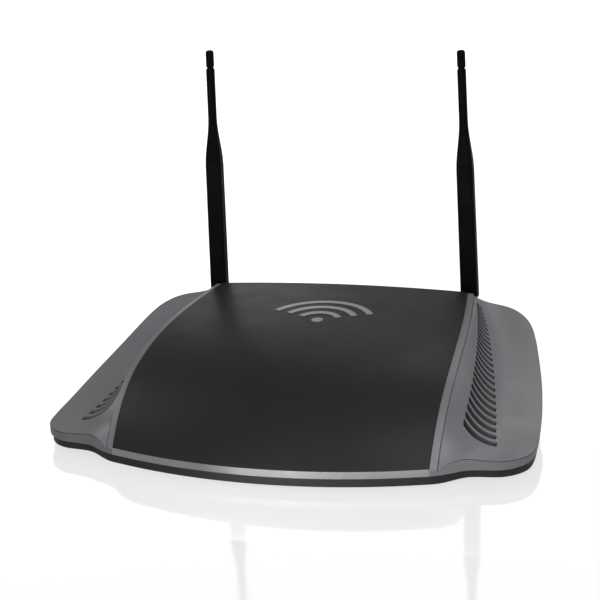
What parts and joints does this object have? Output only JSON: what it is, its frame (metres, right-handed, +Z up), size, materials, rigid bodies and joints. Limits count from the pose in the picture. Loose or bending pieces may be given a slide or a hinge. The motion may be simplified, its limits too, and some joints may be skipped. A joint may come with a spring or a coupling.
{
  "type": "optical network terminal",
  "caption": "Low desktop wireless gateway: crowned gloss panel between grey vented wings, dark base, two swivelling rod antennas, rear port row",
  "frame": {"origin": "middle of the bottom of the overall box, on the surface that the feet stand on", "axes": "+X to the unit's right seen from the front, +Y to the rear where the ports and antennas are, +Z up"},
  "size_m": [0.2482, 0.1832, 0.1775],
  "materials": {
    "base_black": "fine matt moulded plastic",
    "cover_grey": "satin grey moulded plastic",
    "panel_gloss": "gloss black",
    "trim_silver": "silver satin",
    "emblem_grey": "light grey",
    "clear_plastic": "clear",
    "label_paper": "blank silver-grey label",
    "board_green": "green solder mask",
    "chip_black": "ferrite",
    "heatsink": "finned",
    "shield_tin": "tinned steel",
    "optical_green": "green",
    "steel": "bright",
    "jack_black": "black",
    "contact_gold": "bare",
    "jack_grey": "grey",
    "button_grey": "satin grey",
    "button_white": "white",
    "capacitor_can": "sleeved can",
    "lead_black": "thin jacket",
    "foot_rubber": "soft rubber",
    "antenna_black": "satin black"
  },
  "bodies": {
    "case": {"bottom_case": "base_black", "top_cover": "cover_grey", "top_panel": "panel_gloss", "front_trim": "trim_silver", "emblem": "emblem_grey", "light_guide": "clear_plastic", "rating_label": "label_paper", "main_board": "board_green", "gateway_chip": "chip_black", "heat_spreader": "heatsink", "flash_chip": "chip_black", "memory_chips": "chip_black", "radio_shield": "shield_tin", "optical_module": "shield_tin", "optical_adapter": "optical_green", "shutter_pin": "steel", "lan_jacks": "jack_black", "lan_contacts": "contact_gold", "lan_magnetics": "chip_black", "phone_jack": "jack_grey", "power_jack": "jack_black", "power_jack_pin": "contact_gold", "power_switch": "jack_black", "button_switches": "jack_black", "capacitors": "capacitor_can", "power_inductors": "chip_black", "status_leds": "clear_plastic", "coax_sockets": "contact_gold", "coax_leads": "lead_black", "rubber_feet": "foot_rubber", "case_screws": "steel", "board_screws": "steel"},
    "antenna_left_swivel": {"antenna_left_base": "antenna_black", "antenna_left_clip": "button_grey", "antenna_left_pin": "steel"},
    "antenna_left_arm": {"antenna_left_blade": "antenna_black", "antenna_left_radiator": "contact_gold", "antenna_left_tip": "antenna_black"},
    "antenna_right_swivel": {"antenna_right_base": "antenna_black", "antenna_right_clip": "button_grey", "antenna_right_pin": "steel"},
    "antenna_right_arm": {"antenna_right_blade": "antenna_black", "antenna_right_radiator": "contact_gold", "antenna_right_tip": "antenna_black"},
    "power_button_body": {"power_button": "button_grey"},
    "wps_button_body": {"wps_button": "button_grey"},
    "reset_body": {"reset_plunger": "button_white"},
    "shutter_body": {"optical_shutter": "optical_green"}
  },
  "joints": [
    {"name": "antenna_left_turn", "type": "hinge", "parent": "case", "child": "antenna_left_swivel", "pos_m": [-0.0768, 0.0734, 0.025], "axis": [0, 1, 0], "range_deg": [-90, 20]},
    {"name": "antenna_left_tilt", "type": "hinge", "parent": "antenna_left_swivel", "child": "antenna_left_arm", "pos_m": [-0.0768, 0.0864, 0.025], "axis": [-0.9998, 0, 0.0192], "range_deg": [0, 90]},
    {"name": "antenna_right_turn", "type": "hinge", "parent": "case", "child": "antenna_right_swivel", "pos_m": [0.0688, 0.0734, 0.025], "axis": [0, 1, 0], "range_deg": [-20, 90]},
    {"name": "antenna_right_tilt", "type": "hinge", "parent": "antenna_right_swivel", "child": "antenna_right_arm", "pos_m": [0.0688, 0.0864, 0.025], "axis": [-0.9998, 0, -0.0192], "range_deg": [0, 90]},
    {"name": "power_press", "type": "slide", "parent": "case", "child": "power_button_body", "axis": [0, -1, 0], "range_m": [0, 0.0018], "stiffness_N_per_m": 600, "springref_m": -0.0005},
    {"name": "wps_press", "type": "slide", "parent": "case", "child": "wps_button_body", "axis": [0, -1, 0], "range_m": [0, 0.0008], "stiffness_N_per_m": 600, "springref_m": -0.0005},
    {"name": "reset_press", "type": "slide", "parent": "case", "child": "reset_body", "axis": [0, -1, 0], "range_m": [0, 0.0006], "stiffness_N_per_m": 600, "springref_m": -0.0005},
    {"name": "optical_shutter_lift", "type": "hinge", "parent": "case", "child": "shutter_body", "pos_m": [0.0545, 0.0729, 0.0233], "axis": [1, 0, 0], "range_deg": [0, 100], "stiffness_Nm_per_rad": 0.0002, "springref_deg": -11.46}
  ]
}
